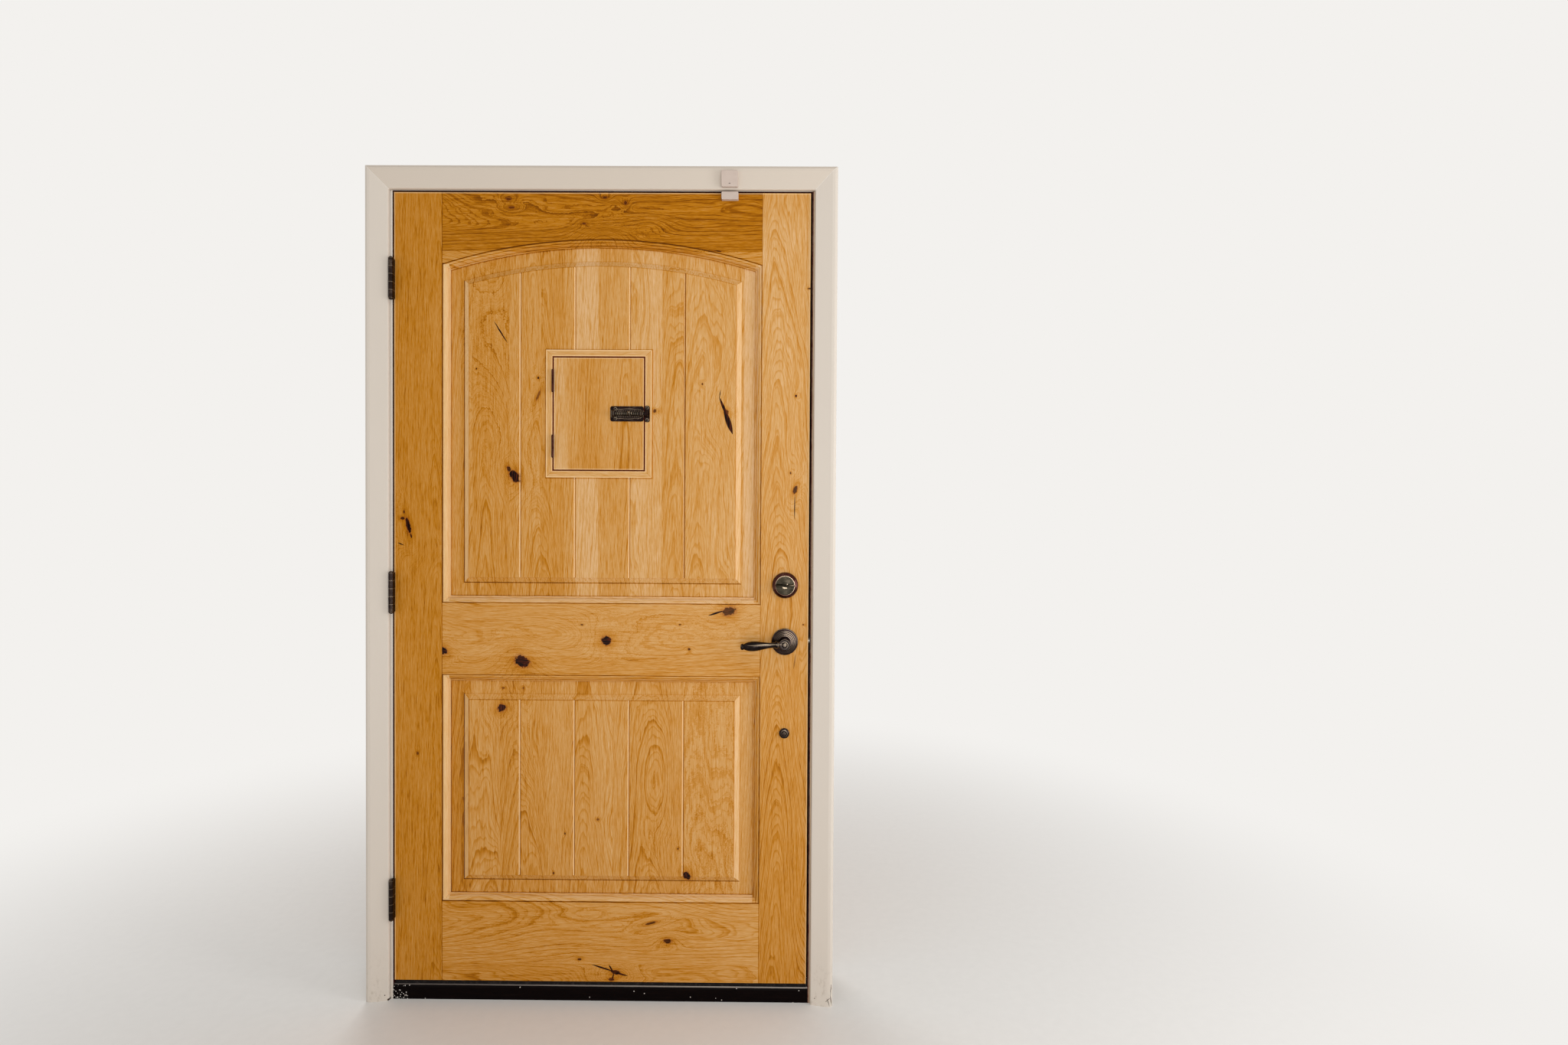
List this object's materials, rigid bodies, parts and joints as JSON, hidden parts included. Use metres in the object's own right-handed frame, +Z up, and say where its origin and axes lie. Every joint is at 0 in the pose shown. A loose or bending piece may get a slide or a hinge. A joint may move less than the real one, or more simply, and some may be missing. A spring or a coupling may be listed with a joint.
{
  "type": "entry door with frame",
  "caption": "Inward-opening knotty alder entry door with an arched raised panel and a hatch, hung in its cased jamb over a metal sill, with lever, latch and deadbolt.",
  "frame": {"origin": "middle of the sill's underside at floor level, at mid depth of the jambs", "axes": "+Z up, +X to the latch side as seen from the room (hinges at -X), -Y into the room, +Y to the outside"},
  "size_m": [1.202, 0.207, 2.1444],
  "materials": {
    "knotty_alder": "clear satin",
    "white_painted_wood": "white satin paint",
    "dark_bronze": "oil-rubbed bronze",
    "steel": "zinc plated",
    "black_seal": "matt",
    "white_plastic": "matt white",
    "sill_composite": "dark bronze skin over a composite core",
    "sill_metal": "worn dark anodised"
  },
  "bodies": {
    "frame": {"hinge_jamb": "white_painted_wood", "latch_jamb": "white_painted_wood", "head_jamb": "white_painted_wood", "door_stops": "white_painted_wood", "sill": "sill_composite", "sill_cap": "sill_metal", "casing_left": "white_painted_wood", "casing_right": "white_painted_wood", "casing_head": "white_painted_wood", "brickmould_left": "white_painted_wood", "brickmould_right": "white_painted_wood", "brickmould_head": "white_painted_wood", "weatherstrip_left": "black_seal", "weatherstrip_right": "black_seal", "weatherstrip_head": "black_seal", "latch_strike": "dark_bronze", "deadbolt_strike": "dark_bronze", "top_hinge_jamb_leaf": "dark_bronze", "middle_hinge_jamb_leaf": "dark_bronze", "bottom_hinge_jamb_leaf": "dark_bronze", "hinge_pins": "dark_bronze", "sensor_body": "white_plastic"},
    "door": {"hinge_stile": "knotty_alder", "latch_stile": "knotty_alder", "top_rail": "knotty_alder", "lock_rail": "knotty_alder", "bottom_rail": "knotty_alder", "upper_panel": "knotty_alder", "lower_panel": "knotty_alder", "top_hinge_door_leaf": "dark_bronze", "middle_hinge_door_leaf": "dark_bronze", "bottom_hinge_door_leaf": "dark_bronze", "door_sweep": "black_seal", "sensor_magnet": "white_plastic", "hatch_frame": "knotty_alder", "hatch_grille": "dark_bronze", "hatch_bolt_keeper": "dark_bronze", "hatch_hinge_frame_leaves": "dark_bronze", "hatch_hinge_pins": "dark_bronze", "deadbolt_rose": "dark_bronze", "deadbolt_case": "steel", "deadbolt_cylinder": "dark_bronze", "latch_case": "steel", "lever_rose": "dark_bronze", "outside_grip": "dark_bronze", "grip_bolt": "steel", "grip_bolt_cover": "dark_bronze"},
    "hatch_leaf": {"hatch_door": "knotty_alder", "hatch_bolt_plate": "dark_bronze", "hatch_hinge_door_leaves": "dark_bronze"},
    "hatch_slide_bolt": {"hatch_bolt": "dark_bronze"},
    "lever": {"lever_handle": "dark_bronze", "lever_spindle": "steel"},
    "spring_latch": {"latch_bolt": "steel"},
    "turn_piece": {"thumbturn": "dark_bronze", "deadbolt_tailpiece": "steel"},
    "dead_bolt": {"deadbolt": "steel"},
    "thumb_piece": {"thumb_latch": "dark_bronze"},
    "plug": {"key_plug": "dark_bronze"}
  },
  "joints": [
    {"name": "door_swing", "type": "hinge", "parent": "frame", "child": "door", "pos_m": [-0.5355, -0.07105, 1.057], "axis": [0, 0, -1], "range_deg": [0, 110]},
    {"name": "lever_turn", "type": "hinge", "parent": "door", "child": "lever", "pos_m": [0.4732, -0.05835, 0.936], "axis": [0, -1, 0], "range_deg": [0, 50], "stiffness_Nm_per_rad": 1.5, "springref_deg": -28.65},
    {"name": "latch_slide", "type": "slide", "parent": "door", "child": "spring_latch", "axis": [-1, 0, 0], "range_m": [0, 0.0127]},
    {"name": "deadbolt_turn", "type": "hinge", "parent": "door", "child": "turn_piece", "pos_m": [0.4732, -0.05835, 1.081], "axis": [0, -1, 0], "range_deg": [0, 90]},
    {"name": "deadbolt_throw", "type": "slide", "parent": "door", "child": "dead_bolt", "axis": [1, 0, 0], "range_m": [0, 0.0254]},
    {"name": "hatch_swing", "type": "hinge", "parent": "door", "child": "hatch_leaf", "pos_m": [-0.1255, -0.0587, 1.5185], "axis": [0, 0, -1], "range_deg": [0, 160]},
    {"name": "hatch_bolt_slide", "type": "slide", "parent": "hatch_leaf", "child": "hatch_slide_bolt", "axis": [-1, 0, 0], "range_m": [0, 0.015]},
    {"name": "thumb_press", "type": "hinge", "parent": "door", "child": "thumb_piece", "pos_m": [0.4732, -0.00985, 0.948], "axis": [-1, 0, 0], "range_deg": [0, 15], "stiffness_Nm_per_rad": 0.3, "springref_deg": -17.19},
    {"name": "key_plug_turn", "type": "hinge", "parent": "door", "child": "plug", "pos_m": [0.4732, -0.01385, 1.081], "axis": [0, 1, 0], "range_deg": [0, 90]}
  ],
  "couplings": [
    {"joint": "latch_slide", "follows": "lever_turn", "m_per_rad": 0.0145},
    {"joint": "deadbolt_throw", "follows": "deadbolt_turn", "m_per_rad": 0.0161}
  ]
}
